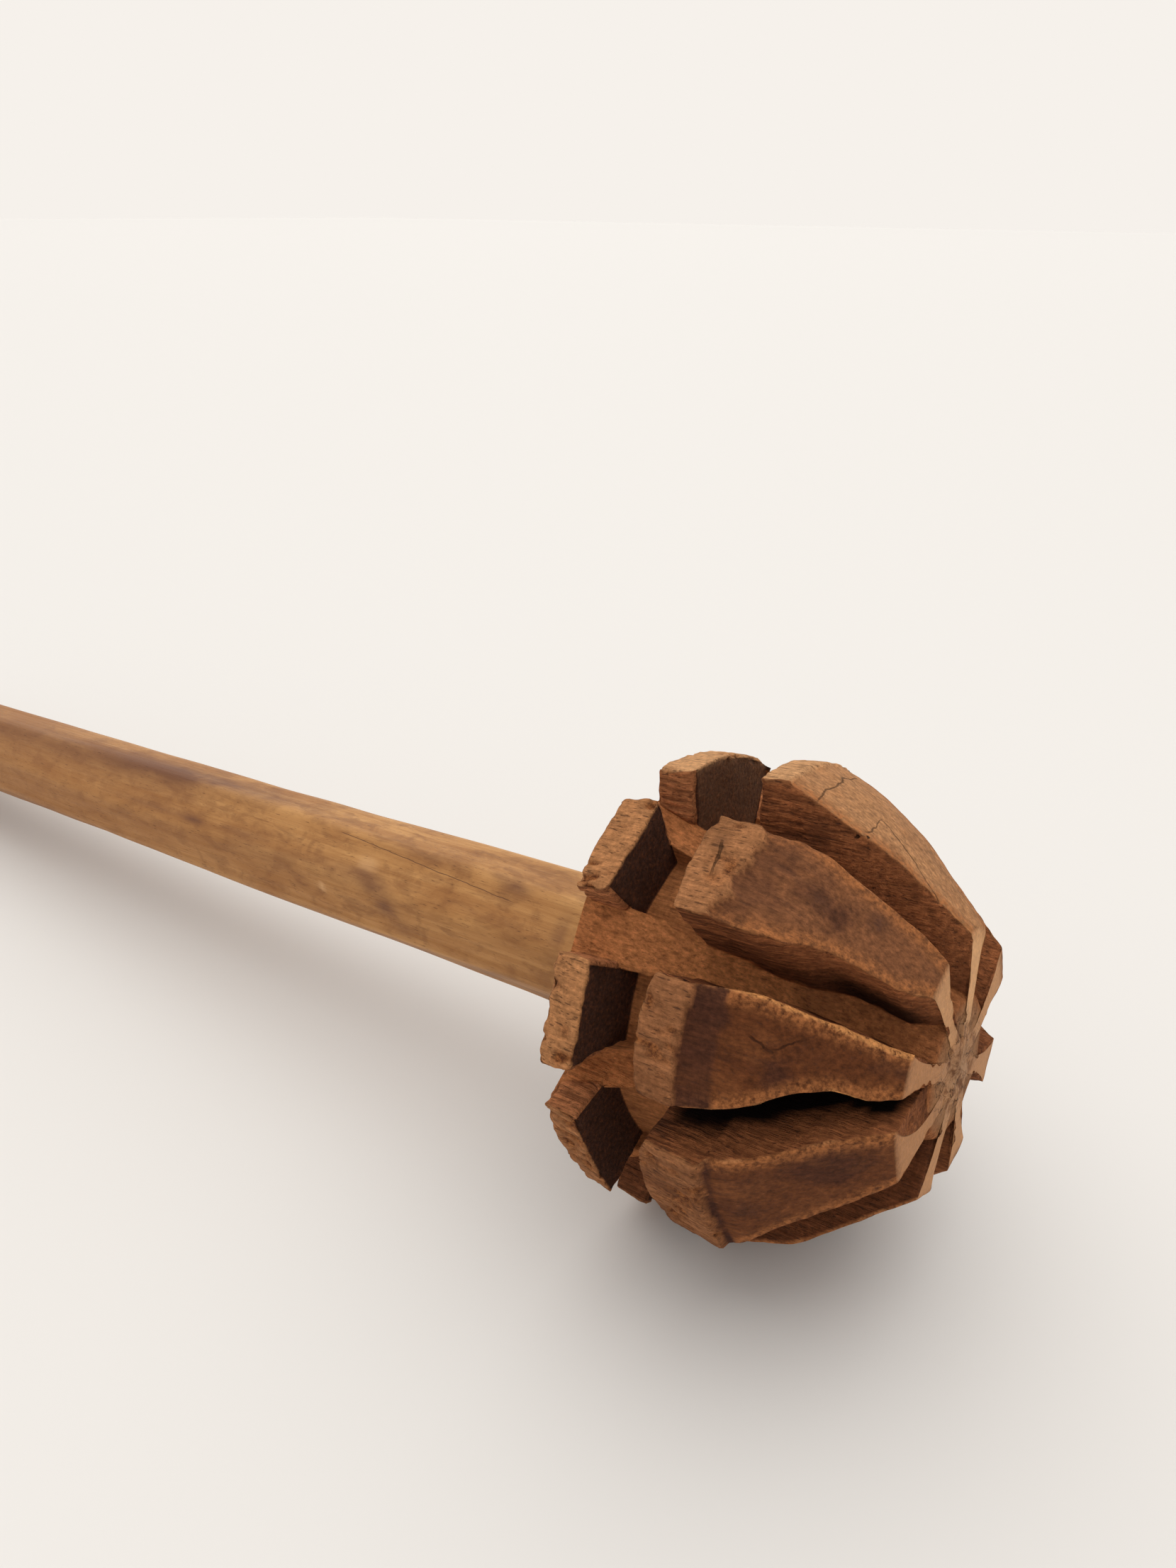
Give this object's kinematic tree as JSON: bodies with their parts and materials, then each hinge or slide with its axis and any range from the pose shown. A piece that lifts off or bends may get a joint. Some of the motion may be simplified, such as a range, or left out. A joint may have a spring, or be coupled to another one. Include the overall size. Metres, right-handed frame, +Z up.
{
  "type": "curd churner",
  "caption": "Hand churner: a carved wooden beater head with deep radial channels and a ring groove, fixed on the end of a long whittled wooden shaft.",
  "frame": {"origin": "on the resting surface, below the centre of the bounding box of the churner as it lies", "axes": "+X along the churner towards the head's nose, +Z up from the surface, -Y towards the side seen in the picture"},
  "size_m": [0.3314, 0.0684, 0.0698],
  "materials": {
    "head_wood": "bare, worn, chisel-carved",
    "shaft_wood": "bare, whittled, polished by handling",
    "wedge_wood": "bare, split"
  },
  "bodies": {
    "root": {"head": "head_wood", "shaft": "shaft_wood", "wedge": "wedge_wood"}
  },
  "joints": []
}
